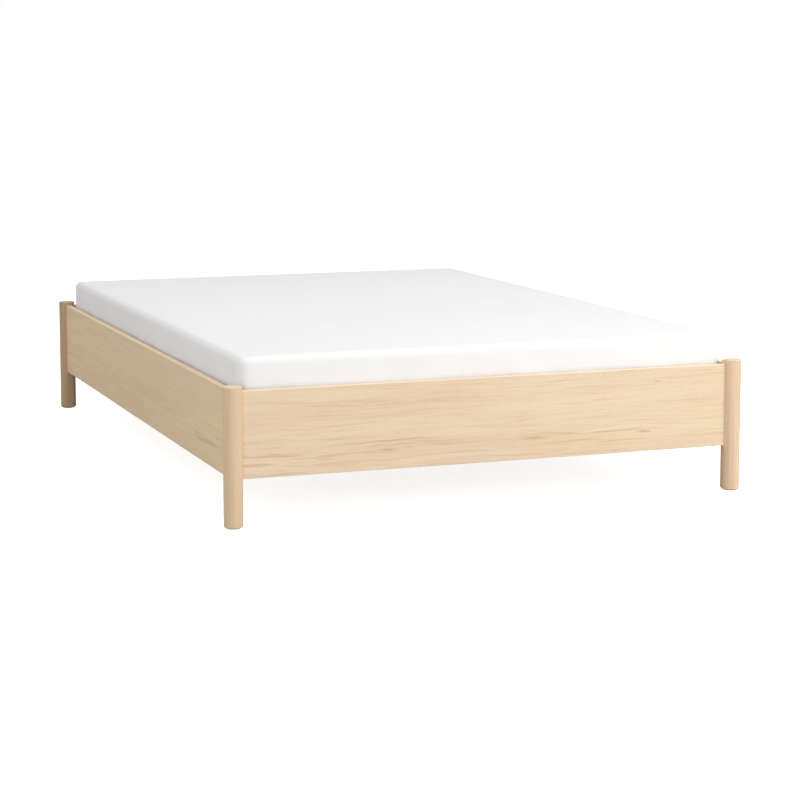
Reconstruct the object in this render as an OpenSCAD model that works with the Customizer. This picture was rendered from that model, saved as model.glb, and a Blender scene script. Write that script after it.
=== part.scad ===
// Low platform bed for a 140 x 200 cm mattress: four turned corner posts, four
// flat rails, a slatted deck on ledges and a middle beam, and the mattress.
// Millimetres. Origin on the floor under the middle of the bed, +Y towards the
// head end, +Z up. Head and foot ends are alike.

/* [Mattress] */
// Width of the mattress
mattress_w = 1400; // [900:50:1600]
// Length of the mattress
mattress_l = 2000; // [1900:50:2100]
// Thickness of the mattress
mattress_t = 178; // [120:1:260]
// Radius of the mattress's upright corners
mattress_corner = 36; // [20:1:80]
// Thickness of the knitted mattress cover
cover_t = 4; // [3:1:8]
// Free gap between the mattress and each side rail
side_gap = 5; // [3:1:15]
// Free gap between the mattress and the head or foot rail
end_gap = 10; // [5:1:20]

/* [Posts] */
// Diameter of the corner posts
post_d = 50; // [46:1:56]
// Height of the post tops above the floor
post_h = 366; // [360:1:420]
// Radius of the rounded edge at the foot of a post
foot_edge = 4; // [2:0.5:5]
// Radius of the rounded edge at the top of a post
top_edge = 2; // [1:0.5:3]

/* [Rails] */
// Height of the rails from lower to upper edge
rail_h = 228; // [220:1:240]
// Thickness of the rails
rail_t = 19; // [18:1:22]
// Height of the rails' lower edge above the floor
rail_z = 126; // [100:1:130]
// How far a rail's outer face stands outside the line of the post axes
rail_out = 6; // [4:0.5:6]
// Radius of the eased long edges of the rails
rail_edge = 1.5; // [0.5:0.5:3]

/* [Slatted deck] */
// Number of slats
slat_count = 16; // [12:1:18]
// Width of one slat
slat_w = 70; // [50:1:80]
// Thickness of the slats
slat_t = 18; // [14:1:20]
// Height of the slats' upper face above the floor
deck_z = 260; // [256:1:270]
// Width of the ledges that carry the slat ends
ledge_w = 30; // [20:1:40]
// Height of the ledges
ledge_h = 40; // [30:1:45]
// Width of the middle beam
beam_w = 30; // [25:1:40]

/* [Hardware] */
// Thickness of the steel corner brackets and beam hangers
plate_t = 2.5; // [2:0.5:3]
// Height of a corner bracket
bracket_h = 120; // [100:5:120]
// Length of a bracket's wing along the rail
wing_l = 60; // [50:1:66]
// Diameter of the corner bolts
bolt_d = 6; // [5:1:6]
// Diameter of the wooden dowels
dowel_d = 8; // [6:1:8]

/* [Hidden] */
$fn = 64;
// radial clearance of a pin, screw or bolt in its hole
fit = 0.05;

// posts
post_r = post_d / 2;
glide_t = 2;
glide_d = 36;
glide_stem_d = 5;
glide_stem_l = 18;
// flat that a rail end butts against, from the post axis
seat = 24.2;
rail_in = rail_t - rail_out;
rail_mid = rail_t / 2 - rail_out;
// plan size between the post axes
axes_w = mattress_w + 2 * (side_gap + rail_in);
axes_l = mattress_l + 2 * (end_gap + rail_in);

// slatted deck
slat_z = deck_z - slat_t;
slat_edge = 2;
slat_pitch = (mattress_l - slat_w - 55) / (slat_count - 1);
band_w = 22;
band_t = 1;
band_x = 450;
band_overhang = 12;
staple_w = 11;
staple_wire = 1.2;
staple_t = 0.6;

// ledges: they start inside the corner and pass over the bracket wings
ledge_z = slat_z - ledge_h;
ledge_start = 48;
ledge_edge = 2;
ledge_relief = plate_t + 0.2;
ledge_screws = 7;
ledge_screw_l = 40;

// middle beam, a square-cornered steel tube hung between head and foot rail
beam_h = ledge_h;
beam_wall = 1.5;
beam_cap_t = 3;
beam_gap = 1;
beam_half = axes_l / 2 - rail_in - plate_t - beam_cap_t - beam_gap;
hanger_w = 76;
hanger_seat = 46;
hanger_screw_x = hanger_w / 2 - 9;
hanger_screw_z = [slat_z - 12, slat_z - beam_h + 12];

// corner brackets: they end below the mattress
bracket_z = 136;
wing_end = seat + wing_l;
wing_x = [seat + 20, seat + 48];
wing_z = [bracket_z + 18, bracket_z + 56];
bolt_z = [bracket_z + 34, bracket_z + bracket_h - 34];
// distance of the post's inner flat from the post axis, along the diagonal
flat_at = (seat + rail_in) / sqrt(2);
bolt_l = 34;
bolt_head_d = 11.5;
bolt_head_h = 3.5;
insert_d = 10;
insert_l = 15;
screw_d = 4;
screw_head_d = 8;
screw_l = 16;

// dowels between rail ends and posts
dowel_l = 30;
dowel_z = [rail_z + 24, rail_z + rail_h - 24];

// mattress
mattress_z = deck_z + band_t + staple_t + 0.3;

slat_names = [for (i = [1:slat_count]) slat_name(i)];

function slat_name(i) = str("slat_", i < 10 ? "0" : "", i);
function slat_y(i) = (i - (slat_count + 1) / 2) * slat_pitch;
function ledge_screw_y(i) = (i / (ledge_screws - 1) - 0.5) * (axes_l - 2 * ledge_start - 110);

// ---------- shared shapes ----------

module rounded_rect(w, h, r) {
    translate([r, 0]) square([w - 2 * r, h]);
    translate([0, r]) square([w, h - 2 * r]);
    for (x = [r, w - r])
        for (y = [r, h - r])
            translate([x, y]) circle(r);
}

// Corner frame: origin on the post axis, +x along the head or foot rail and +y
// along the side rail, both towards the middle of the bed.
module at_corner(side, end) {
    translate([side * axes_w / 2, end * axes_l / 2, 0])
        flip(side > 0, [1, 0, 0])
            flip(end > 0, [0, 1, 0])
                children();
}

module flip(on, normal) {
    if (on) mirror(normal) children();
    else children();
}

module each_corner() {
    for (side = [-1, 1])
        for (end = [-1, 1])
            at_corner(side, end) children();
}

// Repeats a feature of the head or foot rail on the side rail of the same corner.
module both_rails() {
    children();
    mirror([1, -1, 0]) children();
}

// Turns +z onto the corner's diagonal, pointing towards the middle of the bed.
module along_diagonal() {
    rotate([0, 0, 45]) rotate([0, 90, 0]) children();
}

// ---------- fasteners and the holes they sit in ----------

// Countersunk wood screw: head flush at z = 0, point downwards.
module wood_screw(length) {
    head_r = screw_head_d / 2;
    shank_r = screw_d / 2;
    difference() {
        rotate_extrude()
            polygon([
                [0, 0],
                [head_r, 0],
                [head_r, -0.3],
                [shank_r, -0.3 - head_r + shank_r],
                [shank_r, -length + 4],
                [0, -length]
            ]);
        translate([0, 0, -1.4]) cylinder(h = 2, d = 3, $fn = 6);
    }
}

module wood_screw_hole(length) {
    head_r = screw_head_d / 2 + fit;
    shank_r = screw_d / 2 + fit;
    rotate_extrude()
        polygon([
            [0, 1],
            [head_r, 1],
            [head_r, -0.3],
            [shank_r, -0.3 - head_r + shank_r],
            [shank_r, -length - 0.5],
            [0, -length - 0.5]
        ]);
}

module at_wing_screws() {
    for (x = wing_x)
        for (z = wing_z)
            translate([x, rail_in + plate_t, z]) rotate([-90, 0, 0]) children();
}

module at_ledge_screws(side) {
    for (i = [0:ledge_screws - 1])
        translate([side * (axes_w / 2 - rail_in - ledge_w), ledge_screw_y(i), ledge_z + ledge_h / 2])
            rotate([0, -side * 90, 0])
                children();
}

module at_hanger_screws(end) {
    for (x = [-1, 1] * hanger_screw_x)
        for (z = hanger_screw_z)
            translate([x, end * (axes_l / 2 - rail_in - plate_t), z])
                rotate([end * 90, 0, 0])
                    children();
}

module dowel(d, length) {
    chamfer = 1;
    r = d / 2;
    rotate_extrude()
        polygon([
            [0, -length / 2],
            [r - chamfer, -length / 2],
            [r, -length / 2 + chamfer],
            [r, length / 2 - chamfer],
            [r - chamfer, length / 2],
            [0, length / 2]
        ]);
}

module at_dowels() {
    for (z = dowel_z)
        translate([seat, rail_mid, z]) rotate([0, 90, 0]) children();
}

module dowel_hole() {
    cylinder(h = dowel_l + 2, r = dowel_d / 2 + fit, center = true);
}

module at_bolts() {
    for (z = bolt_z)
        translate([0, 0, z]) along_diagonal() children();
}

// Bolt along +z, counted from the post axis; its head bears on the bracket.
module corner_bolt() {
    head_at = flat_at + plate_t;
    difference() {
        union() {
            translate([0, 0, head_at - bolt_l]) cylinder(h = bolt_l + 1, d = bolt_d);
            translate([0, 0, head_at]) cylinder(h = bolt_head_h - 1, d = bolt_head_d);
            translate([0, 0, head_at + bolt_head_h - 1])
                cylinder(h = 1, d1 = bolt_head_d, d2 = bolt_head_d - 2.4);
        }
        translate([0, 0, head_at + 1]) cylinder(h = bolt_head_h, d = 4.6, $fn = 6);
    }
}

module threaded_insert() {
    translate([0, 0, flat_at - insert_l])
        difference() {
            cylinder(h = insert_l - 0.5, d = insert_d);
            translate([0, 0, -1]) cylinder(h = insert_l + 2, r = bolt_d / 2 + fit);
        }
}

// ---------- posts ----------

module post_section() {
    square([post_r - foot_edge, foot_edge + 1]);
    translate([post_r - foot_edge, foot_edge]) circle(foot_edge);
    translate([0, foot_edge])
        square([post_r, post_h - glide_t - foot_edge - top_edge]);
    translate([0, post_h - glide_t - top_edge - 1])
        square([post_r - top_edge, top_edge + 1]);
    translate([post_r - top_edge, post_h - glide_t - top_edge]) circle(top_edge);
}

// Round outside, with two flats for the rail ends and one across the inner corner.
module post_blank() {
    translate([0, 0, glide_t])
        intersection() {
            rotate_extrude() post_section();
            translate([-post_d, -post_d, -1])
                cube([post_d + seat, post_d + seat, post_h + 2]);
        }
    translate([0, 0, glide_t + foot_edge])
        linear_extrude(post_h - glide_t - foot_edge - top_edge)
            polygon([
                [0, 0],
                [seat, -rail_out],
                [seat, rail_in],
                [rail_in, seat],
                [-rail_out, seat]
            ]);
}

module post(side, end) {
    color([0.86, 0.76, 0.63])
        at_corner(side, end)
            difference() {
                post_blank();
                both_rails() at_dowels() dowel_hole();
                at_bolts() {
                    translate([0, 0, flat_at - insert_l])
                        cylinder(h = insert_l + 1, r = insert_d / 2 + fit);
                    translate([0, 0, flat_at + plate_t - bolt_l - 2])
                        cylinder(h = bolt_l, d = bolt_d + 0.5);
                }
                cylinder(h = glide_t + glide_stem_l + 1, r = glide_stem_d / 2 + fit);
            }
}

module glide(side, end) {
    color([0.30, 0.28, 0.26])
        at_corner(side, end)
            rotate_extrude()
                polygon([
                    [0, 0],
                    [glide_d / 2 - 0.6, 0],
                    [glide_d / 2, 0.6],
                    [glide_d / 2, glide_t],
                    [glide_stem_d / 2, glide_t],
                    [glide_stem_d / 2, glide_t + glide_stem_l - 1],
                    [glide_stem_d / 2 - 1, glide_t + glide_stem_l],
                    [0, glide_t + glide_stem_l]
                ]);
}

// ---------- rails ----------

// A rail between two posts, centred on the y axis of the bed end it belongs to.
module rail_blank(length) {
    translate([-length / 2, -rail_out, rail_z])
        rotate([90, 0, 90])
            linear_extrude(length)
                rounded_rect(rail_t, rail_h, rail_edge);
}

module end_rail(end) {
    color([0.90, 0.81, 0.69])
        difference() {
            translate([0, end * axes_l / 2, 0])
                flip(end > 0, [0, 1, 0])
                    rail_blank(axes_w - 2 * seat);
            for (side = [-1, 1])
                at_corner(side, end) {
                    at_dowels() dowel_hole();
                    at_wing_screws() wood_screw_hole(screw_l);
                }
            at_hanger_screws(end) wood_screw_hole(screw_l);
        }
}

module side_rail(side) {
    color([0.88, 0.78, 0.65])
        difference() {
            translate([side * axes_w / 2, 0, 0])
                flip(side > 0, [1, 0, 0])
                    mirror([1, -1, 0])
                        rail_blank(axes_l - 2 * seat);
            for (end = [-1, 1])
                at_corner(side, end)
                    mirror([1, -1, 0]) {
                        at_dowels() dowel_hole();
                        at_wing_screws() wood_screw_hole(screw_l);
                    }
            at_ledge_screws(side) wood_screw_hole(ledge_screw_l);
        }
}

// ---------- corner hardware ----------

// Bent steel plate: a wing on each rail and a bridge against the post's inner flat.
module bracket(side, end) {
    inner = rail_in + plate_t;
    bend = (flat_at + plate_t) * sqrt(2) - inner;
    color([0.72, 0.73, 0.74])
        at_corner(side, end)
            difference() {
                translate([0, 0, bracket_z])
                    linear_extrude(bracket_h)
                        polygon([
                            [wing_end, rail_in],
                            [seat, rail_in],
                            [rail_in, seat],
                            [rail_in, wing_end],
                            [inner, wing_end],
                            [inner, bend],
                            [bend, inner],
                            [wing_end, inner]
                        ]);
                both_rails() at_wing_screws() wood_screw_hole(screw_l);
                at_bolts() cylinder(h = 2 * flat_at, d = bolt_d + 0.6);
            }
}

module bracket_bolts() {
    color([0.62, 0.63, 0.65])
        each_corner() at_bolts() corner_bolt();
}

module threaded_inserts() {
    color([0.78, 0.70, 0.42])
        each_corner() at_bolts() threaded_insert();
}

module bracket_screws() {
    color([0.66, 0.67, 0.69])
        each_corner() both_rails() at_wing_screws() wood_screw(screw_l);
}

module rail_dowels() {
    color([0.80, 0.68, 0.50])
        each_corner() both_rails() at_dowels() dowel(dowel_d, dowel_l);
}

// ---------- ledges and middle beam ----------

module slat_ledge(side) {
    length = axes_l - 2 * ledge_start;
    color([0.84, 0.74, 0.58])
        difference() {
            translate([side * (axes_w / 2 - rail_in), -length / 2, ledge_z])
                flip(side > 0, [1, 0, 0])
                    mirror([0, 1, 0])
                        rotate([90, 0, 0])
                            linear_extrude(length)
                                rounded_rect(ledge_w, ledge_h, ledge_edge);
            for (end = [-1, 1])
                at_corner(side, end)
                    translate([rail_in - 1, 0, ledge_z - 1])
                        cube([ledge_relief + 1, wing_end + 1, ledge_h + 2]);
            at_ledge_screws(side) wood_screw_hole(ledge_screw_l);
        }
}

module ledge_screws() {
    color([0.66, 0.67, 0.69])
        for (side = [-1, 1])
            at_ledge_screws(side) wood_screw(ledge_screw_l);
}

module mid_beam() {
    color([0.70, 0.71, 0.72])
        translate([-beam_w / 2, beam_half, slat_z - beam_h])
            rotate([90, 0, 0])
                linear_extrude(2 * beam_half)
                    difference() {
                        rounded_rect(beam_w, beam_h, 3);
                        translate([beam_wall, beam_wall])
                            rounded_rect(beam_w - 2 * beam_wall, beam_h - 2 * beam_wall, 1.5);
                    }
}

// Plastic plug: a flange over the tube's end and a body inside it.
module beam_cap(end) {
    inset = beam_wall + 0.1;
    color([0.16, 0.16, 0.17])
        translate([0, end * beam_half, 0])
            flip(end < 0, [0, 1, 0])
                union() {
                    translate([-beam_w / 2, beam_cap_t, slat_z - beam_h])
                        rotate([90, 0, 0])
                            linear_extrude(beam_cap_t)
                                rounded_rect(beam_w, beam_h, 3);
                    translate([inset - beam_w / 2, 0.5, slat_z - beam_h + inset])
                        rotate([90, 0, 0])
                            linear_extrude(14)
                                rounded_rect(beam_w - 2 * inset, beam_h - 2 * inset, 1.4);
                }
}

// Steel hanger: a back plate on the rail and an open-topped seat for the beam.
module beam_hanger(end) {
    wall_x = beam_w / 2 + 0.5;
    seat_z = slat_z - beam_h - plate_t;
    color([0.72, 0.73, 0.74])
        difference() {
            translate([0, end * (axes_l / 2 - rail_in), 0])
                flip(end < 0, [0, 1, 0])
                    union() {
                        translate([-hanger_w / 2, -plate_t, seat_z])
                            cube([hanger_w, plate_t, beam_h + plate_t]);
                        translate([-wall_x - plate_t, -hanger_seat, seat_z])
                            difference() {
                                cube([2 * (wall_x + plate_t), hanger_seat, beam_h + plate_t - 4]);
                                translate([plate_t, -1, plate_t])
                                    cube([2 * wall_x, hanger_seat + 1 - plate_t, beam_h + plate_t]);
                            }
                    }
            at_hanger_screws(end) wood_screw_hole(screw_l);
        }
}

module hanger_screws() {
    color([0.66, 0.67, 0.69])
        for (end = [-1, 1])
            at_hanger_screws(end) wood_screw(screw_l);
}

// ---------- slatted deck ----------

module slat(i) {
    color([0.89, 0.80, 0.64])
        translate([-mattress_w / 2, slat_y(i) - slat_w / 2, slat_z])
            rotate([90, 0, 90])
                linear_extrude(mattress_w)
                    rounded_rect(slat_w, slat_t, slat_edge);
}

module webbing_band(side) {
    length = slat_y(slat_count) - slat_y(1) + 2 * band_overhang;
    color([0.93, 0.92, 0.89])
        translate([side * band_x - band_w / 2, -length / 2, deck_z])
            cube([band_w, length, band_t]);
}

// Crowns of the flat-wire staples that hold the bands on the slats.
module webbing_staples() {
    color([0.75, 0.76, 0.78])
        for (side = [-1, 1])
            for (i = [1:slat_count])
                translate([side * band_x - staple_w / 2, slat_y(i) - staple_wire / 2, deck_z + band_t])
                    cube([staple_w, staple_wire, staple_t]);
}

// ---------- mattress ----------

module mattress_block(inset) {
    r = mattress_corner - inset;
    w = mattress_w - 2 * inset;
    l = mattress_l - 2 * inset;
    translate([-w / 2, -l / 2, mattress_z + inset])
        linear_extrude(mattress_t - 2 * inset)
            rounded_rect(w, l, r);
}

module mattress_core() {
    color([0.95, 0.94, 0.88])
        mattress_block(cover_t + 0.3);
}

module mattress_cover() {
    color([0.96, 0.96, 0.96])
        difference() {
            mattress_block(0);
            mattress_block(cover_t);
        }
}

post(-1, -1);  // foot_left_post
post(1, -1);  // foot_right_post
post(-1, 1);  // head_left_post
post(1, 1);  // head_right_post
end_rail(-1);  // foot_rail
end_rail(1);  // head_rail
side_rail(-1);  // left_side_rail
side_rail(1);  // right_side_rail
slat_ledge(-1);  // left_slat_ledge
slat_ledge(1);  // right_slat_ledge
mid_beam();
beam_cap(-1);  // foot_beam_cap
beam_cap(1);  // head_beam_cap
beam_hanger(-1);  // foot_beam_hanger
beam_hanger(1);  // head_beam_hanger
bracket(-1, -1);  // foot_left_bracket
bracket(1, -1);  // foot_right_bracket
bracket(-1, 1);  // head_left_bracket
bracket(1, 1);  // head_right_bracket
bracket_bolts();
threaded_inserts();
bracket_screws();
rail_dowels();
ledge_screws();
hanger_screws();
glide(-1, -1);  // foot_left_glide
glide(1, -1);  // foot_right_glide
glide(-1, 1);  // head_left_glide
glide(1, 1);  // head_right_glide
for (i = [1:slat_count])
    slat(i);
webbing_band(-1);  // left_webbing_band
webbing_band(1);  // right_webbing_band
webbing_staples();
mattress_core();
mattress_cover();
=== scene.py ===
"""Looks of the platform bed: woods, hardware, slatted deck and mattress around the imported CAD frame."""

import math

import bmesh
import bpy
from mathutils import Matrix, Vector, noise


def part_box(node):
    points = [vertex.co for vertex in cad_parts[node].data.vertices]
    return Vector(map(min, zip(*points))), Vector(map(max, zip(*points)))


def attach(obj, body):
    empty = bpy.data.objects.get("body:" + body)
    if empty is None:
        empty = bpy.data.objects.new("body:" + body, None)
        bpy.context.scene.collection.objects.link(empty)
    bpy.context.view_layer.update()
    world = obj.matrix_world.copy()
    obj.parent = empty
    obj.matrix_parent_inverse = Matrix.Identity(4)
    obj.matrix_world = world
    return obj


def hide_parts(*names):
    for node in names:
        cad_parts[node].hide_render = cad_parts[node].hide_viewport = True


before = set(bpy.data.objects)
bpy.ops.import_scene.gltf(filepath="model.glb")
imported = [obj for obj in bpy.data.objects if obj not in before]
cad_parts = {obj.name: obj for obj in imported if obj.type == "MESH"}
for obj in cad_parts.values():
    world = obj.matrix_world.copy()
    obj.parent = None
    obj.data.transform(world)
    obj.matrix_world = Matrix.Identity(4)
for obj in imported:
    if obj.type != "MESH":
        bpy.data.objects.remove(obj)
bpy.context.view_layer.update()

# Wood colours, sRGB 0-255. Tones are the pink, the yellow and the pale stretches of one board.
PALE = (237, 219, 190)
FRONT_TONES = ((229, 202, 172), (231, 210, 178), PALE)
# The side tones hold less blue than the front tones: painted warm shade on the side rails.
SIDE_TONES = ((229, 201, 164), (231, 208, 168), (237, 218, 181))
LINE = (199, 164, 128)
PORE = (172, 135, 98)
KNOT = (178, 137, 98)
# Painted highlight for the boards' faces that look up or down, lighter than the wood for the light falling on
# them from above.
FLAT_FACE_HIGHLIGHT = (248, 225, 193)
GLUE_LINE = (132, 98, 62)

CORNERS = ("foot_left", "foot_right", "head_left", "head_right")
SLATS = sorted(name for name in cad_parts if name.startswith("slat_"))
BODY_DECK = "slatted_deck"
BODY_MATTRESS = "mattress"


# ---------------------------------------------------------------- shader helper

class Shader:
    """A material under construction: adds nodes, fills their sockets and keeps the main shader at hand."""

    def __init__(self, name):
        self.material = bpy.data.materials.new(name)
        self.material.use_nodes = True
        self.tree = self.material.node_tree
        self.bsdf = self.tree.nodes["Principled BSDF"]

    def add(self, kind, inputs=None, **settings):
        node = self.tree.nodes.new("ShaderNode" + kind)
        for key, value in settings.items():
            setattr(node, key, value)
        for key, value in (inputs or {}).items():
            self.feed(node.inputs[key], value)
        return node

    def feed(self, socket, value):
        if isinstance(value, bpy.types.NodeSocket):
            self.tree.links.new(value, socket)
        else:
            socket.default_value = value

    def set(self, **values):
        """Sets sockets of the main shader; an underscore in a name stands for a space."""
        for key, value in values.items():
            self.feed(self.bsdf.inputs[key.replace("_", " ")], value)

    def object_point(self):
        """The point in the bed's own frame, in metres; it moves with the part."""
        return self.add("TexCoord").outputs["Object"]

    def flatness(self):
        """1 where a face looks straight up or down, 0 where it is upright."""
        normal = self.add("NewGeometry").outputs["Normal"]
        return self.math("ABSOLUTE", self.split(normal)["Z"])

    def split(self, vector):
        return self.add("SeparateXYZ", {"Vector": vector}).outputs

    def scaled(self, vector, scale, shift=(0, 0, 0)):
        return self.add("Mapping", {"Vector": vector, "Scale": scale, "Location": shift}).outputs["Vector"]

    def length(self, vector):
        return self.add("VectorMath", {0: vector}, operation="LENGTH").outputs["Value"]

    def math(self, operation, a, b=0.0):
        return self.add("Math", {0: a, 1: b}, operation=operation).outputs["Value"]

    def times(self, first, *factors):
        for factor in factors:
            first = self.math("MULTIPLY", first, factor)
        return first

    def falloff(self, distance):
        """1 at distance 0, falling softly to 0 past 1."""
        return self.math("EXPONENT", self.times(distance, distance, -1.0))

    def noise(self, vector, scale=1.0, detail=2.0, roughness=0.5):
        settings = {"Vector": vector, "Scale": scale, "Detail": detail, "Roughness": roughness}
        return self.add("TexNoise", settings).outputs["Fac"]

    def ramp(self, value, *stops, easing="LINEAR"):
        """A grey ramp through (position, level) stops."""
        node = self.add("ValToRGB", {"Fac": value})
        node.color_ramp.interpolation = easing
        elements = node.color_ramp.elements
        while len(elements) < len(stops):
            elements.new(0.5)
        for element, (position, level) in zip(elements, stops):
            element.position = position
            element.color = (level, level, level, 1)
        return node.outputs["Color"]

    def streaks(self, point, scale, shift, *stops, detail=3.0, roughness=0.5, easing="LINEAR"):
        """Noise drawn out by scale and moved by shift, read through a grey ramp."""
        drawn = self.noise(self.scaled(point, scale, shift), 1.0, detail, roughness)
        return self.ramp(drawn, *stops, easing=easing)

    def waves(self, point, direction, scale, **look):
        """Even bands across X, Y or Z; an underscore in a look's name stands for a space."""
        settings = {"Vector": point, "Scale": scale}
        settings.update({key.replace("_", " "): value for key, value in look.items()})
        return self.add("TexWave", settings, wave_type="BANDS", bands_direction=direction).outputs["Fac"]

    def mix(self, share, a, b):
        node = self.add("Mix", data_type="RGBA")
        self.feed(node.inputs["Factor"], share)
        self.feed(node.inputs[6], rgba(a))
        self.feed(node.inputs[7], rgba(b))
        return node.outputs[2]

    def bump(self, height, distance, strength):
        node = self.add("Bump", {"Height": height, "Distance": distance, "Strength": strength})
        return node.outputs["Normal"]


def rgba(colour):
    """Passes sockets through; turns an sRGB triple of 0-255 into a linear colour."""
    if isinstance(colour, bpy.types.NodeSocket):
        return colour
    linear = [((c / 255 + 0.055) / 1.055) ** 2.4 if c > 10 else c / 255 / 12.92 for c in colour]
    return (*linear, 1)


# ---------------------------------------------------------------- woods

FIGURE_REACH = 0.045
WOOD_GLOSS = 0.25
LAYER_THICKNESS = 0.003


def grain_frame(s, along):
    """The point with its first coordinate along the grain and the other two across it."""
    order = {"X": "XZY", "Y": "YZX", "Z": "ZXY"}[along]
    parts = s.split(s.object_point())
    joined = s.add("CombineXYZ")
    for target, source in zip("XYZ", order):
        s.feed(joined.inputs[target], parts[source])
    return joined.outputs["Vector"]


def bell(s, vector, centre, reach):
    """1 at the centre, falling softly to 0 around it; reach is how far it spreads along each axis."""
    scale = [1 / r for r in reach]
    shift = [-c / r for c, r in zip(centre, reach)]
    return s.falloff(s.length(s.scaled(vector, scale, shift)))


def bend_round_knots(s, point, knots):
    """Spreads the grain apart round each knot, and gives the spread point and a mask of the knots' hearts."""
    parts = s.split(point)
    across = parts["Y"]
    hearts = 0.0
    for along_at, across_at, size in knots:
        centre = (along_at, across_at, 0)
        near = bell(s, point, centre, (9 * size, 1.6 * size, 1))
        offset = s.math("SUBTRACT", parts["Y"], across_at)
        across = s.math("SUBTRACT", across, s.times(offset, near, 0.75))
        heart = bell(s, point, centre, (2.6 * size, 0.30 * size, 1))
        hearts = s.math("MAXIMUM", hearts, heart)
    bent = s.add("CombineXYZ", {"X": parts["X"], "Y": across, "Z": parts["Z"]})
    return bent.outputs["Vector"], hearts


def wavy_grain(s, bent, seed):
    """The spread point, made to wander across the board in slow and in quick waves."""
    wander = s.math("SUBTRACT", s.noise(s.scaled(bent, (1.5, 4, 1), (seed, 0, 0))), 0.5)
    wobble = s.math("SUBTRACT", s.noise(s.scaled(bent, (9, 14, 1), (seed, 3, 0))), 0.5)
    parts = s.split(bent)
    across = s.math("ADD", parts["Y"], s.times(wander, 0.045))
    across = s.math("ADD", across, s.times(wobble, 0.006))
    return s.add("CombineXYZ", {"X": parts["X"], "Y": across}).outputs["Vector"]


def figure_strength(s, bent, grain, seed, figure, figure_z):
    """How strongly the wavy lines show: most at one height, and in patches along the board."""
    height = s.math("DIVIDE", s.math("SUBTRACT", s.split(bent)["Y"], figure_z), FIGURE_REACH)
    near = s.times(s.falloff(height), 0.75 * figure)
    patchy = s.streaks(grain, (2.2, 7, 1), (seed, 4, 4), (0.35, 0.25), (0.62, 1.0), detail=1.0)
    return s.times(s.math("ADD", near, 0.22 * figure), patchy)


def veneer(name, along, seed, knots, tones, figure=1.0, figure_z=0.190):
    """Pale oak-like veneer: soft pink and yellow bands, fine fibres, and darker wavy lines low on the board.

    knots are (along the board, height, size) in metres; tones are the pink, yellow and pale wood; figure is
    how strongly the lines show, most of all at the height figure_z.
    """
    s = Shader(name)
    pink, yellow, pale = tones
    flat = s.scaled(grain_frame(s, along), (1, 1, 0))
    bent, hearts = bend_round_knots(s, flat, knots)
    grain = wavy_grain(s, bent, seed)
    strength = figure_strength(s, bent, grain, seed, figure, figure_z)

    yellowish = s.streaks(grain, (1.3, 25, 1), (seed, 1, 0), (0.36, 0.0), (0.64, 1.0),
                          roughness=0.6, easing="EASE")
    clouds = s.streaks(grain, (1.1, 9, 1), (seed, 7, 2), (0.3, 0.0), (0.7, 1.0), detail=2.0)
    line = s.streaks(grain, (3.0, 88, 1), (seed, 5, 0), (0.54, 0.0), (0.62, 1.0),
                     roughness=0.6, easing="EASE")
    dashes = s.noise(s.scaled(grain, (7.5, 150, 1), (seed, 8, 0)))
    dash = s.ramp(dashes, (0.60, 0.0), (0.70, 1.0), easing="EASE")
    light_dash = s.ramp(dashes, (0.28, 1.0), (0.38, 0.0), easing="EASE")
    fine = s.noise(s.scaled(grain, (4.0, 240, 1), (seed, 9, 0)), 1.0, 3.0, 0.65)
    thread = s.ramp(fine, (0.52, 0.0), (0.70, 1.0))
    glow = s.ramp(fine, (0.30, 1.0), (0.44, 0.0))
    hair = s.streaks(grain, (14, 1000, 1), (seed, 6, 0), (0.48, 0.0), (0.68, 1.0),
                     detail=2.0, roughness=0.6)
    pores = s.streaks(grain, (60, 1600, 1), (seed, 2, 0), (0.60, 0.0), (0.70, 1.0), detail=1.0)
    # Faces looking up or down are painted lighter: a painted highlight.
    flat_face_highlight = s.ramp(s.flatness(), (0.5, 0.0), (0.8, 0.7))

    base = s.mix(yellowish, pink, yellow)
    base = s.mix(s.times(clouds, 0.35), base, pale)
    base = s.mix(s.times(line, strength, 0.80), base, LINE)
    base = s.mix(s.times(dash, s.math("ADD", strength, 0.25 * figure), 0.45), base, LINE)
    base = s.mix(s.times(light_dash, 0.38 * figure), base, pale)
    base = s.mix(s.times(thread, 0.18 * figure), base, LINE)
    base = s.mix(s.times(glow, 0.22), base, pale)
    base = s.mix(s.times(hair, 0.13), base, LINE)
    base = s.mix(s.times(pores, 0.20), base, PORE)
    base = s.mix(s.times(hearts, 0.42 * figure), base, KNOT)
    base = s.mix(flat_face_highlight, base, FLAT_FACE_HIGHLIGHT)
    relief = s.math("ADD", s.times(hair, -0.5), s.times(pores, -0.8))
    s.set(
        Base_Color=base,
        Roughness=s.math("ADD", s.times(fine, 0.14), 0.46),
        Normal=s.bump(relief, 0.00010, 0.6),
        Specular_IOR_Level=WOOD_GLOSS,
    )
    return s.material


def growth_rings(s, radius, wander, ring_mm, *stops):
    """Dark late wood once in each ring; wander pushes the rings out of round."""
    rings = s.math("ADD", s.times(radius, 1000 / ring_mm), s.times(wander, 3.0))
    return s.ramp(s.math("FRACT", rings), *stops, easing="EASE")


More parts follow.
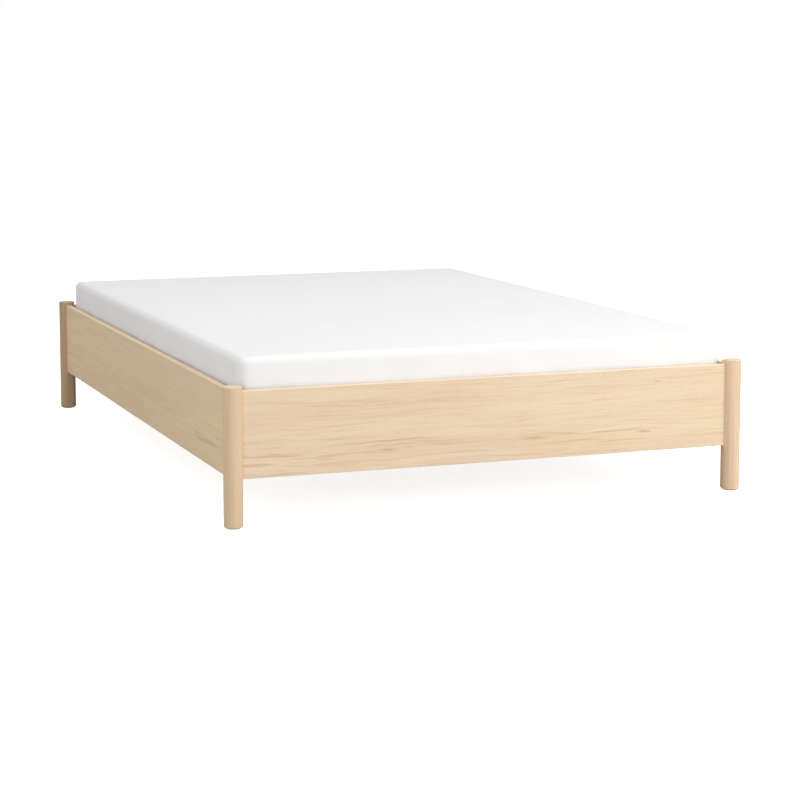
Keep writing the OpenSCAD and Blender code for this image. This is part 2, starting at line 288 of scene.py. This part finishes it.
def turned_wood(name, seed, pith, light, dark, line, ring_mm=3.2):
    """Upright grain of a turned post, with growth rings on its end; pith is the rings' centre in plan."""
    s = Shader(name)
    point = s.object_point()
    radius = s.length(s.scaled(point, (1, 1, 0), (-pith[0], -pith[1], 0)))
    wander = s.noise(s.scaled(point, (6, 6, 1.2), (seed, 0, 0)))
    late = growth_rings(s, radius, wander, ring_mm, (0.0, 0.0), (0.55, 0.15), (0.90, 1.0), (1.0, 0.0))
    end = s.ramp(s.flatness(), (0.55, 0.0), (0.8, 1.0))
    side = s.math("SUBTRACT", 1.0, end)

    tone = s.streaks(point, (42, 42, 0.9), (seed, 0, 0), (0.33, 0.0), (0.67, 1.0))
    streak = s.streaks(point, (130, 130, 2.6), (seed, 2, 0), (0.5, 0.0), (0.68, 1.0), roughness=0.6)
    fibre = s.streaks(point, (420, 420, 7), (0, seed, 1), (0.45, 0.0), (0.72, 1.0), roughness=0.65)
    pores = s.streaks(point, (1500, 1500, 60), (0, seed, 0), (0.60, 0.0), (0.72, 1.0), detail=1.0)

    base = s.mix(tone, light, dark)
    base = s.mix(s.times(streak, side, 0.40), base, line)
    base = s.mix(s.times(fibre, side, 0.22), base, line)
    # The end faces are painted pale: a painted highlight of the light from above on the post tops. The rings
    # drawn on them below are the wood's own.
    base = s.mix(s.times(end, 0.7), base, PALE)
    base = s.mix(s.times(late, end, 0.40), base, line)
    base = s.mix(s.times(late, side, 0.10), base, line)
    base = s.mix(s.times(pores, 0.22), base, PORE)
    relief = s.math("ADD", s.times(fibre, -0.4), s.times(pores, -0.8))
    s.set(
        Base_Color=base,
        Roughness=s.math("ADD", s.times(fibre, 0.12), 0.46),
        Normal=s.bump(relief, 0.00010, 0.6),
        Specular_IOR_Level=WOOD_GLOSS,
    )
    return s.material


def plain_wood(name, along, light, dark, line, pith, seed=0.0, ring_mm=3.0):
    """Planed wood: ring lines seen lengthwise and at the ends; pith is their centre across the grain."""
    s = Shader(name)
    point = grain_frame(s, along)
    radius = s.length(s.scaled(point, (0, 1, 1), (0, -pith[0], -pith[1])))
    wander = s.noise(s.scaled(point, (1.2, 6, 6), (seed, 0, 0)))
    late = growth_rings(s, radius, wander, ring_mm, (0.0, 0.0), (0.5, 0.1), (0.88, 1.0), (1.0, 0.0))
    fibre = s.streaks(point, (6, 380, 380), (0, 0, 0), (0.42, 0.0), (0.70, 1.0), roughness=0.6)
    tone = s.streaks(point, (0.8, 20, 20), (0, seed, 0), (0.3, 0.0), (0.7, 1.0), detail=2.0)
    base = s.mix(tone, light, dark)
    base = s.mix(s.times(late, 0.55), base, line)
    base = s.mix(s.times(fibre, 0.20), base, line)
    s.set(
        Base_Color=base,
        Roughness=s.math("ADD", s.times(fibre, 0.10), 0.55),
        Normal=s.bump(late, 0.00012, 0.5),
        Specular_IOR_Level=0.3,
    )
    return s.material


def layered_wood(name, light, dark, line):
    """Slats glued from thin layers: fine glue lines along the edges, straight grain on the faces."""
    s = Shader(name)
    point = grain_frame(s, "X")
    fibre = s.streaks(point, (4, 260, 190), (0, 0, 0), (0.35, 0.0), (0.7, 1.0), detail=4.0, roughness=0.6)
    tone = s.ramp(s.noise(s.scaled(point, (1.2, 3, 14)), 1.4), (0.3, 0.0), (0.7, 1.0))
    layer = s.math("FRACT", s.times(s.split(s.object_point())["Z"], 1 / LAYER_THICKNESS))
    glue = s.ramp(layer, (0.0, 1.0), (0.07, 0.0), (0.93, 0.0), (1.0, 1.0))
    on_edge = s.math("LESS_THAN", s.flatness(), 0.6)
    base = s.mix(s.times(tone, 0.7), light, dark)
    base = s.mix(s.times(fibre, 0.28), base, line)
    base = s.mix(s.times(glue, on_edge, 0.6), base, GLUE_LINE)
    s.set(Base_Color=base, Roughness=0.55, Normal=s.bump(fibre, 0.0001, 0.5), Specular_IOR_Level=0.3)
    return s.material


# ---------------------------------------------------------------- metals and plastics

def plated_steel(name, colour, roughness=0.34, spangle=0.10):
    """Plated sheet or wire: faint crystals in the colour and a slight smear in the gloss."""
    s = Shader(name)
    point = s.object_point()
    cells = s.add("TexVoronoi", {"Vector": point, "Scale": 260.0}, feature="F1").outputs["Distance"]
    smear = s.noise(s.scaled(point, (30, 30, 220)), 1.0, 3.0)
    s.set(
        Base_Color=s.mix(s.times(cells, spangle), colour, (150, 152, 155)),
        Metallic=1.0,
        Roughness=s.math("ADD", s.times(smear, 0.16), roughness - 0.08),
        Normal=s.bump(smear, 0.00004, 0.6),
    )
    return s.material


def powder_coat(name, colour):
    s = Shader(name)
    point = s.object_point()
    orange_peel = s.noise(point, 900.0)
    cloud = s.noise(point, 14.0)
    s.set(
        Base_Color=s.mix(s.times(cloud, 0.12), colour, (150, 151, 152)),
        Roughness=0.5,
        Normal=s.bump(orange_peel, 0.00006, 0.6),
    )
    return s.material


def moulded_plastic(name, colour):
    s = Shader(name)
    spark = s.noise(s.object_point(), 2600.0, 1.0)
    s.set(
        Base_Color=s.mix(s.times(spark, 0.25), colour, [c * 0.8 for c in colour]),
        Roughness=0.55,
        Normal=s.bump(spark, 0.00005, 0.5),
    )
    return s.material


# ---------------------------------------------------------------- fabrics

KNIT_LOOPS = {"Distortion": 1.2, "Detail": 1.0, "Detail_Scale": 0.6}
TOOTH_PITCH = 0.0011


def knit(name, colour, shade):
    """Fine jersey knit: rows of loops about 1.3 mm apart, with a faint unevenness of the yarn."""
    s = Shader(name)
    point = s.object_point()
    rows = s.waves(point, "X", 250.0, **KNIT_LOOPS)
    courses = s.waves(point, "Y", 210.0, **KNIT_LOOPS)
    risers = s.waves(point, "Z", 210.0, **KNIT_LOOPS)
    loops = s.times(s.math("ADD", rows, courses), s.math("ADD", risers, 0.5))
    yarn = s.noise(point, 420.0, 3.0)
    cloud = s.noise(point, 5.0)
    tinted = s.mix(s.times(cloud, 0.10), colour, shade)
    relief = s.math("ADD", s.times(loops, 0.5), s.times(yarn, 0.6))
    s.set(
        Base_Color=s.mix(s.times(yarn, 0.08), tinted, shade),
        Roughness=0.9,
        Normal=s.bump(relief, 0.00025, 0.35),
        Sheen_Weight=0.15,
        Sheen_Roughness=0.5,
        Specular_IOR_Level=0.2,
    )
    return s.material


def woven_band(name, colour, shade):
    """Plain weave: warp and weft crossing, darker between the threads, where the darkness is painted shade.
    """
    s = Shader(name)
    point = s.object_point()
    warp = s.waves(point, "X", 190.0, Distortion=0.4)
    weft = s.waves(point, "Y", 120.0, Distortion=0.4)
    weave = s.times(warp, weft)
    s.set(
        # The gaps between the threads take the shade colour: painted shade.
        Base_Color=s.mix(weave, shade, colour),
        Roughness=0.85,
        Normal=s.bump(weave, 0.0004, 0.8),
        Sheen_Weight=0.1,
    )
    return s.material


def zip_coil(name, colour, shade):
    """The coil of a zip: light teeth following each other along the sides, with painted shade in the gaps
    between them.
    """
    s = Shader(name)
    parts = s.split(s.object_point())
    run = s.math("ADD", parts["X"], parts["Y"])
    teeth = s.math("PINGPONG", s.times(run, 1 / TOOTH_PITCH), 1.0)
    s.set(
        # Painted shade darkens the gaps between the teeth.
        Base_Color=s.mix(teeth, shade, colour),
        Roughness=0.45,
        Normal=s.bump(teeth, 0.0004, 0.9),
    )
    return s.material


# ---------------------------------------------------------------- dressing the CAD nodes

# Knots: place along the board, height and size, in metres.
FOOT_KNOTS = ((0.12, 0.183, 0.012), (0.445, 0.181, 0.007), (0.486, 0.317, 0.005), (-0.30, 0.178, 0.010))
SIDE_KNOTS = ((-0.70, 0.196, 0.016), (-0.385, 0.212, 0.008), (0.30, 0.214, 0.009))
HEAD_KNOTS = ((-0.35, 0.205, 0.010), (0.22, 0.170, 0.006))
FAR_KNOTS = ((-0.55, 0.240, 0.009), (0.15, 0.185, 0.012), (0.72, 0.175, 0.006))

# Light and dark streaks of each post; the pith of the log lies this far from a post's axis.
POST_TONES = {
    "foot_left": ((227, 202, 169), (219, 193, 159)),
    "foot_right": ((231, 205, 173), (224, 196, 162)),
    # head_left is painted darker than the other posts: painted shade of the bed's shadow on that back corner.
    "head_left": ((194, 168, 135), (186, 159, 125)),
    "head_right": ((227, 201, 169), (220, 192, 158)),
}
PITH_OFFSET = (0.045, 0.06)


def rail_materials():
    return {
        "foot_rail": veneer("veneer_foot_rail", "X", 0.0, FOOT_KNOTS, FRONT_TONES, 1.15),
        "head_rail": veneer("veneer_head_rail", "X", 17.3, HEAD_KNOTS, FRONT_TONES, 0.9, 0.230),
        "left_side_rail": veneer("veneer_left_side_rail", "Y", 38.6, SIDE_KNOTS, SIDE_TONES, 0.70, 0.200),
        "right_side_rail": veneer("veneer_right_side_rail", "Y", 52.9, FAR_KNOTS, SIDE_TONES, 0.9, 0.215),
    }


def post_materials():
    posts = {}
    for index, corner in enumerate(CORNERS):
        low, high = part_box(corner + "_post")
        pith = ((low.x + high.x) / 2 + PITH_OFFSET[0], (low.y + high.y) / 2 + PITH_OFFSET[1])
        posts[corner + "_post"] = turned_wood("post_" + corner, 7.7 * index, pith, *POST_TONES[corner], LINE)
    return posts


def deck_materials():
    ledge = plain_wood("softwood_ledge", "Y", (236, 212, 172), (226, 199, 156), (192, 150, 104), (0.16, 0.60))
    slat = layered_wood("wood_slat", (238, 217, 178), (226, 198, 156), (190, 152, 108))
    deck = {name: slat for name in SLATS}
    deck["left_slat_ledge"] = deck["right_slat_ledge"] = ledge
    deck["mid_beam"] = powder_coat("grey_powder_coat", (178, 180, 182))
    deck["foot_beam_cap"] = deck["head_beam_cap"] = moulded_plastic("black_plastic", (44, 44, 46))
    return deck


def hardware_materials():
    zinc = plated_steel("zinc_plated_steel", (196, 199, 203))
    bright = plated_steel("bright_steel", (180, 183, 188), roughness=0.28, spangle=0.04)
    glide = moulded_plastic("glide_plastic", (92, 84, 76))
    hardware = {
        "foot_beam_hanger": zinc,
        "head_beam_hanger": zinc,
        "bracket_bolts": bright,
        "bracket_screws": bright,
        "ledge_screws": bright,
        "hanger_screws": bright,
        "webbing_staples": bright,
        "threaded_inserts": plated_steel("yellow_passivated_steel", (202, 180, 118), 0.32, 0.05),
        "rail_dowels": plain_wood("beech_dowel", "X", (206, 172, 128), (196, 160, 116), (158, 118, 80),
                                  (0.10, 0.30), 2.0, 2.0),
    }
    for corner in CORNERS:
        hardware[corner + "_bracket"] = zinc
        hardware[corner + "_glide"] = glide
    return hardware


def dress_nodes(materials):
    for name, material in materials.items():
        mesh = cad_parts[name].data
        mesh.materials.clear()
        mesh.materials.append(material)


# ---------------------------------------------------------------- mesh building

def new_piece(name, bm, material, body):
    """A smooth-shaded object made from a bmesh, riding on a body."""
    mesh = bpy.data.meshes.new(name)
    bmesh.ops.recalc_face_normals(bm, faces=bm.faces)
    bm.to_mesh(mesh)
    bm.free()
    mesh.materials.append(material)
    mesh.shade_smooth()
    piece = bpy.data.objects.new(name, mesh)
    bpy.context.scene.collection.objects.link(piece)
    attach(piece, body)
    return piece


def edge_spaced(half, rim, fine, coarse):
    """Positions from -half to half: about every `fine` within `rim` of both ends, every `coarse` between."""
    near = [half - rim * i / math.ceil(rim / fine) for i in range(math.ceil(rim / fine))]
    steps = math.ceil(2 * (half - rim) / coarse)
    middle = [(half - rim) * (1 - 2 * i / steps) for i in range(1, steps)]
    ends = [half - rim]
    return sorted([-v for v in near + ends] + middle + near + ends)


def box_grid(xs, ys, zs):
    """The six faces of a box as one closed grid mesh, its vertices shared along the edges."""
    bm = bmesh.new()
    places = (xs, ys, zs)
    made = {}

    def vertex(*steps):
        if steps not in made:
            made[steps] = bm.verts.new([place[step] for place, step in zip(places, steps)])
        return made[steps]

    for fixed, across, along in ((2, 0, 1), (1, 0, 2), (0, 1, 2)):
        for side in (0, len(places[fixed]) - 1):
            for i in range(len(places[across]) - 1):
                for j in range(len(places[along]) - 1):
                    corners = []
                    for di, dj in ((0, 0), (1, 0), (1, 1), (0, 1)):
                        steps = [0, 0, 0]
                        steps[fixed], steps[across], steps[along] = side, i + di, j + dj
                        corners.append(vertex(*steps))
                    bm.faces.new(corners)
    return bm


def tube_of_loops(bm, loops, closed):
    """Joins each loop of vertices to the next; closed also joins the last one to the first."""
    pairs = list(zip(loops, loops[1:]))
    if closed:
        pairs.append((loops[-1], loops[0]))
    for here, there in pairs:
        for j in range(len(here)):
            k = (j + 1) % len(here)
            bm.faces.new([here[j], there[j], there[k], here[k]])


# ---------------------------------------------------------------- mattress

# The block before it swells: SIDE_ROOM is left free beside the CAD solid, END_ROOM at its ends.
MATTRESS_CORNER = 0.036
MATTRESS_EDGE = 0.020
SIDE_ROOM = 0.0035
END_ROOM = -0.0015
RIM_STEP = 0.008
FACE_STEP = 0.020
EDGE_STEP = 0.007
SIDE_STEP = 0.016

# Cloth: how long it runs and how far a point may move.
CLOTH_FRAMES = 14
SWELL_LIMIT = 0.006

# Shape after the cloth: crown of the top, and the slack of the knit on the sides and on the top.
MATTRESS_CROWN = 0.005
EDGE_DROP = 0.003
SIDE_SLACK = 0.0006
TOP_SLACK = 0.0008

# Zip round the cover, above its lower face.
ZIP_HEIGHT = 0.046
ZIP_PINCH = 0.0018
ZIP_PINCH_REACH = 0.006
ZIP_SUNK = 0.0010
ZIP_ROWS = (-0.009, -0.004, 0, 0.004, 0.009)
TAPE_HALF_WIDTH = 0.0055
TAPE_HALF_THICKNESS = 0.0006
COIL_WIDTH = 0.0013
COIL_DEPTH = 0.0011
COIL_OUT = 0.0010


def round_block(bm, half, corner, edge):
    """Rounds a centred box grid: upright corners to radius corner, upper and lower edges to radius edge."""
    for v in bm.verts:
        x, y, z = v.co
        inset = min(half.x - abs(x), half.y - abs(y))
        depth = half.z - abs(z)
        if inset < edge and depth < edge:
            across, down = edge - inset, edge - depth
            pull = max(across, down) / math.hypot(across, down)
            new_inset, depth = edge - across * pull, edge - down * pull
            x = math.copysign(min(abs(x), half.x - new_inset), x)
            y = math.copysign(min(abs(y), half.y - new_inset), y)
            z = math.copysign(half.z - depth, z)
        over_x, over_y = abs(x) - (half.x - corner), abs(y) - (half.y - corner)
        if over_x > 0 and over_y > 0:
            pull = max(over_x, over_y) / math.hypot(over_x, over_y)
            x = math.copysign(half.x - corner + over_x * pull, x)
            y = math.copysign(half.y - corner + over_y * pull, y)
        v.co = x, y, z


def add_cloth(piece, half, held):
    """A light cover under pressure, with springs inside that hold it to shape, as the foam does."""
    cloth = piece.modifiers.new("cover", "CLOTH")
    cloth.point_cache.frame_start = 1
    cloth.point_cache.frame_end = CLOTH_FRAMES
    cloth.collision_settings.use_collision = False
    rules = cloth.settings
    rules.quality = 5
    rules.tension_stiffness = rules.compression_stiffness = 25
    rules.shear_stiffness = 10
    rules.bending_stiffness = 4
    rules.use_pressure = True
    rules.uniform_pressure_force = 4
    rules.effector_weights.gravity = 0
    rules.vertex_group_mass = held.name
    rules.use_internal_springs = True
    rules.internal_spring_max_length = 1.05 * 2 * half.z
    rules.internal_spring_max_diversion = math.radians(20)
    rules.internal_tension_stiffness = rules.internal_tension_stiffness_max = 15
    rules.internal_compression_stiffness = rules.internal_compression_stiffness_max = 15
    return cloth


def swell_by_cloth(piece, half):
    """Lets the cover swell, keeps its moves short, and leaves no modifier behind."""
    mesh = piece.data
    scene = bpy.context.scene
    start = [v.co.copy() for v in mesh.vertices]
    held = piece.vertex_groups.new(name="held")
    held.add([v.index for v in mesh.vertices if v.co.z < ZIP_HEIGHT - half.z], 1.0, "REPLACE")
    cloth = add_cloth(piece, half, held)
    for frame_number in range(1, CLOTH_FRAMES + 1):
        scene.frame_set(frame_number)
    swollen = piece.evaluated_get(bpy.context.evaluated_depsgraph_get()).data
    moves = [v.co - at for v, at in zip(swollen.vertices, start)]
    piece.modifiers.remove(cloth)
    piece.vertex_groups.remove(held)
    scene.frame_set(1)
    for v, at, move in zip(mesh.vertices, start, moves):
        v.co = at + move * min(1.0, SWELL_LIMIT / max(move.length, 1e-9))


def refine(piece):
    """One round of smooth subdivision, made real."""
    smooth = piece.modifiers.new("smooth", "SUBSURF")
    smooth.levels = smooth.render_levels = 1
    depsgraph = bpy.context.evaluated_depsgraph_get()
    fine = bpy.data.meshes.new_from_object(piece.evaluated_get(depsgraph))
    piece.modifiers.remove(smooth)
    piece.data = fine


def shape_cover(mesh, half):
    """Crowns the top a little, draws the zip in all round, and gives the knit some slack in slow waves."""
    for v in mesh.vertices:
        u, w = v.co.x / half.x, v.co.y / half.y
        up = v.co.z / half.z
        if up > 0:
            v.co.z += (MATTRESS_CROWN * (1 - abs(u) ** 3) * (1 - abs(w) ** 4) - EDGE_DROP) * up
        outward = Vector((math.copysign(abs(u) ** 40, u), math.copysign(abs(w) ** 40, w), 0))
        above_zip = v.co.z + half.z - ZIP_HEIGHT
        pinch = ZIP_PINCH * math.exp(-((above_zip / ZIP_PINCH_REACH) ** 2))
        if max(abs(u), abs(w)) ** 40 > 0.05:
            slack = SIDE_SLACK * noise.noise(Vector((v.co.x * 9, v.co.y * 9, v.co.z * 16)))
            v.co += outward * (slack - pinch)
        else:
            v.co.z += TOP_SLACK * up * noise.noise(Vector((v.co.x * 4, v.co.y * 4, 0.3)))


def mattress_block():
    """Centre and half size of the cover before it swells."""
    low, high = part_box("mattress_cover")
    half = (high - low) / 2
    return (high + low) / 2, Vector((half.x - SIDE_ROOM, half.y - END_ROOM, half.z))


def build_mattress(centre, start):
    rim = MATTRESS_CORNER + 0.004
    xs = edge_spaced(start.x, rim, RIM_STEP, FACE_STEP)
    ys = edge_spaced(start.y, rim, RIM_STEP, FACE_STEP)
    zs = edge_spaced(start.z, MATTRESS_EDGE + 0.001, EDGE_STEP, SIDE_STEP)
    zip_rows = [ZIP_HEIGHT - start.z + step for step in ZIP_ROWS]
    zs = sorted([z for z in zs if min(abs(z - row) for row in zip_rows) > 0.004] + zip_rows)
    bm = box_grid(xs, ys, zs)
    round_block(bm, start, MATTRESS_CORNER - SIDE_ROOM, MATTRESS_EDGE)
    white_knit = knit("white_knit", (240, 240, 240), (222, 222, 222))
    mattress = new_piece("mattress", bm, white_knit, BODY_MATTRESS)
    swell_by_cloth(mattress, start)
    refine(mattress)
    shape_cover(mattress.data, start)
    mattress.data.transform(Matrix.Translation(centre))
    mattress.data.shade_smooth()
    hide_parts("mattress_cover", "mattress_core")


def rounded_outline(half_x, half_y, radius, per_corner=14):
    """Points round a rectangle with round corners, anticlockwise."""
    points = []
    for quarter, (sx, sy) in enumerate(((1, 1), (-1, 1), (-1, -1), (1, -1))):
        for i in range(per_corner + 1):
            angle = math.pi / 2 * (quarter + i / per_corner)
            points.append((
                sx * (half_x - radius) + radius * math.cos(angle),
                sy * (half_y - radius) + radius * math.sin(angle),
            ))
    return points


def ring_of_section(outline, section, centre):
    """A closed ring: a small section (outward, up) carried round an outline of plan points."""
    bm = bmesh.new()
    count = len(outline)
    loops = []
    for i, (x, y) in enumerate(outline):
        before, after = outline[i - 1], outline[(i + 1) % count]
        along = Vector((after[0] - before[0], after[1] - before[1])).normalized()
        out = Vector((along.y, -along.x))
        loops.append([bm.verts.new((x + out.x * o, y + out.y * o, up)) for o, up in section])
    tube_of_loops(bm, loops, closed=True)
    bmesh.ops.translate(bm, vec=centre, verts=bm.verts)
    return bm


def build_zip(centre, start):
    """The zip round the mattress cover: a narrow tape with a coil standing on it."""
    middle = (centre.x, centre.y, centre.z - start.z + ZIP_HEIGHT)
    outline = rounded_outline(start.x - ZIP_SUNK, start.y - ZIP_SUNK, MATTRESS_CORNER - SIDE_ROOM - ZIP_SUNK)
    out, up = TAPE_HALF_THICKNESS, TAPE_HALF_WIDTH
    tape = ring_of_section(outline, [(-out, -up), (out, 0.0005 - up), (out, up - 0.0005), (-out, up)], middle)
    cloth = woven_band("zip_tape", (232, 232, 230), (205, 205, 203))
    new_piece("mattress_zip_tape", tape, cloth, BODY_MATTRESS)
    turns = [2 * math.pi * i / 8 for i in range(8)]
    oval = [(COIL_OUT + COIL_DEPTH * math.cos(a), COIL_WIDTH * math.sin(a)) for a in turns]
    coil = ring_of_section(outline, oval, middle)
    teeth = zip_coil("zip_coil", (232, 232, 230), (196, 196, 194))
    new_piece("mattress_zip_coil", coil, teeth, BODY_MATTRESS)


# ---------------------------------------------------------------- webbing bands

BAND_STEPS = 420
BAND_BEVEL = 0.0006
BAND_DIP = 0.0022


def band_dip(y, gaps):
    """How far the band hangs below its laid height at y: nothing on a slat, a shallow arch in a gap."""
    for start, end in gaps:
        if start < y < end:
            return BAND_DIP * math.sin(math.pi * (y - start) / (end - start)) ** 0.8
    return 0.0


def build_band(name, material):
    """A woven band laid over the slats, dipping slightly between them."""
    low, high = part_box(name)
    thick = high.z - low.z
    left, right = low.x + BAND_BEVEL, high.x - BAND_BEVEL
    section = [(low.x, 0.3), (left, 0.0), (right, 0.0), (high.x, 0.3),
               (high.x, 0.7), (right, 1.0), (left, 1.0), (low.x, 0.7)]
    slats = [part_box(slat) for slat in SLATS]
    gaps = [(before[1].y, after[0].y) for before, after in zip(slats, slats[1:])]
    bm = bmesh.new()
    loops = []
    for i in range(BAND_STEPS + 1):
        y = low.y + (high.y - low.y) * i / BAND_STEPS
        laid = low.z - band_dip(y, gaps)
        loops.append([bm.verts.new((x, y, laid + thick * t)) for x, t in section])
    tube_of_loops(bm, loops, closed=False)
    bm.faces.new(loops[0][::-1])
    bm.faces.new(loops[-1])
    band = new_piece(name + "_woven", bm, material, BODY_DECK)
    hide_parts(name)


# ---------------------------------------------------------------- floor, light, camera

LENS = 97.51
SHIFT = -0.10
CAMERA_AT = (-2.2172, -6.2711, 1.2033)
CAMERA_DOWN = 6.985
CAMERA_TURN = -20.42
FLOOR_SIZE = 60
FLOOR_GLOW = 0.85
SKY_LIGHT = 0.66


def build_floor():
    """A white studio floor: the camera sees it lit evenly, with only a faint shadow under the bed."""
    bpy.ops.mesh.primitive_plane_add(size=FLOOR_SIZE, location=(0, 0, 0))
    floor = bpy.context.object
    floor.name = "floor"
    s = Shader("pale_floor")
    s.set(Base_Color=rgba((213, 213, 212)), Roughness=0.9, Specular_IOR_Level=0.05)
    evenly = s.add("Emission", {"Color": (1, 1, 1, 1), "Strength": FLOOR_GLOW})
    bright = s.add("AddShader", {0: s.bsdf.outputs[0], 1: evenly.outputs[0]})
    seen = s.add("LightPath").outputs["Is Camera Ray"]
    mixed = s.add("MixShader", {0: seen, 1: s.bsdf.outputs[0], 2: bright.outputs[0]})
    s.feed(s.tree.nodes["Material Output"].inputs["Surface"], mixed.outputs[0])
    floor.data.materials.append(s.material)


def build_sky():
    """Even white light all round, which the camera sees as plain white."""
    world = bpy.data.worlds.new("studio")
    bpy.context.scene.world = world
    world.use_nodes = True
    tree = world.node_tree
    lighting = tree.nodes["Background"]
    backdrop = tree.nodes.new("ShaderNodeBackground")
    for background, strength in ((lighting, SKY_LIGHT), (backdrop, 1.0)):
        background.inputs["Color"].default_value = (1, 1, 1, 1)
        background.inputs["Strength"].default_value = strength
    path = tree.nodes.new("ShaderNodeLightPath")
    mix = tree.nodes.new("ShaderNodeMixShader")
    tree.links.new(path.outputs["Is Camera Ray"], mix.inputs[0])
    tree.links.new(lighting.outputs[0], mix.inputs[1])
    tree.links.new(backdrop.outputs[0], mix.inputs[2])
    tree.links.new(mix.outputs[0], tree.nodes["World Output"].inputs["Surface"])


def softbox(name, location, target, size, power):
    lamp = bpy.data.lights.new(name, "AREA")
    lamp.shape = "DISK"
    lamp.size = size
    lamp.energy = power
    holder = bpy.data.objects.new(name, lamp)
    holder.location = location
    holder.rotation_euler = (Vector(target) - Vector(location)).to_track_quat("-Z", "Y").to_euler()
    bpy.context.scene.collection.objects.link(holder)


def build_camera():
    """A long lens at the foot-left corner, looking slightly down, a little left of the bed's middle."""
    data = bpy.data.cameras.new("camera")
    data.lens = LENS
    data.sensor_width = 36
    data.shift_y = SHIFT
    data.clip_end = 200
    camera = bpy.data.objects.new("camera", data)
    camera.location = CAMERA_AT
    camera.rotation_euler = (math.radians(90 - CAMERA_DOWN), 0, math.radians(CAMERA_TURN))
    bpy.context.scene.collection.objects.link(camera)
    bpy.context.scene.camera = camera


# ---------------------------------------------------------------- the bed, put together

dress_nodes(rail_materials())
dress_nodes(post_materials())
dress_nodes(deck_materials())
dress_nodes(hardware_materials())

mattress_centre, mattress_start = mattress_block()
build_mattress(mattress_centre, mattress_start)
build_zip(mattress_centre, mattress_start)

webbing = woven_band("webbing_weave", (236, 234, 228), (198, 194, 186))
build_band("left_webbing_band", webbing)
build_band("right_webbing_band", webbing)

build_floor()
build_sky()
softbox("key_front_right", (3.0, -3.9, 2.4), (0.1, -0.4, 0.3), 2.6, 100)
softbox("fill_front_left", (-4.2, -5.0, 1.6), (0, -0.6, 0.3), 3.0, 42)
softbox("overhead", (0.3, -1.1, 4.4), (0.1, -0.3, 0.3), 4.5, 50)
build_camera()
bpy.context.scene.view_settings.view_transform = "Standard"
